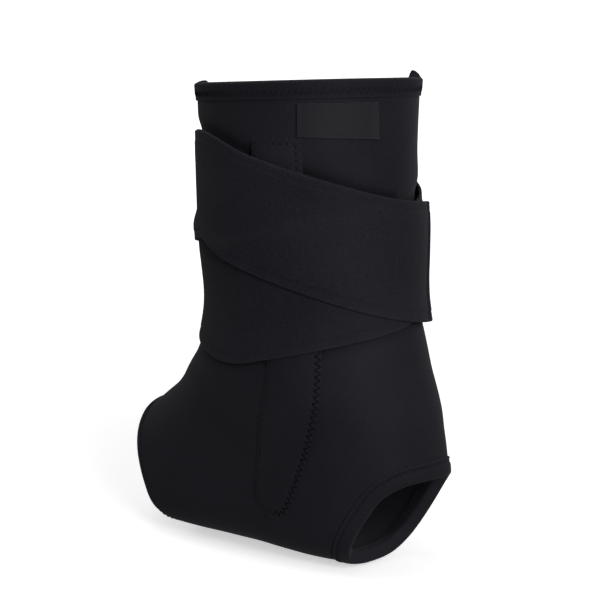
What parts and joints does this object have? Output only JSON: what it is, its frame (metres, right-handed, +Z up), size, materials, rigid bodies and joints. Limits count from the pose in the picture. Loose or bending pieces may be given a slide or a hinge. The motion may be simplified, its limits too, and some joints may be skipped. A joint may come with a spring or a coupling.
{
  "type": "ankle brace",
  "caption": "Pull-on padded ankle sleeve with open toe and heel, bound edges, a side stay pocket and a wide elastic strap wound round the ankle, shown in its worn form.",
  "frame": {"origin": "middle of the ankle inside the sleeve, between the two ankle bones, where a wearer's ankle holds the brace", "axes": "+Z up the leg, -Y towards the toes, +X towards the outer side of the foot, which carries the stay pocket"},
  "size_m": [0.101, 0.1664, 0.2222],
  "materials": {
    "neoprene": "black jersey-faced neoprene foam, fine knit with a soft sheen",
    "top_tape": "black ribbed elastic tape, folded and stitched",
    "heel_tape": "black folded tape with a stitched groove",
    "strap_elastic": "black brushed elastic webbing with plain woven borders",
    "pocket_cloth": "black knit cloth, zigzag stitched",
    "woven_label": "black satin-woven label, bare"
  },
  "bodies": {
    "root": {"sleeve": "neoprene", "top_binding": "top_tape", "heel_binding": "heel_tape", "wrap_strap": "strap_elastic", "stay_pocket": "pocket_cloth", "label": "woven_label"}
  },
  "joints": []
}
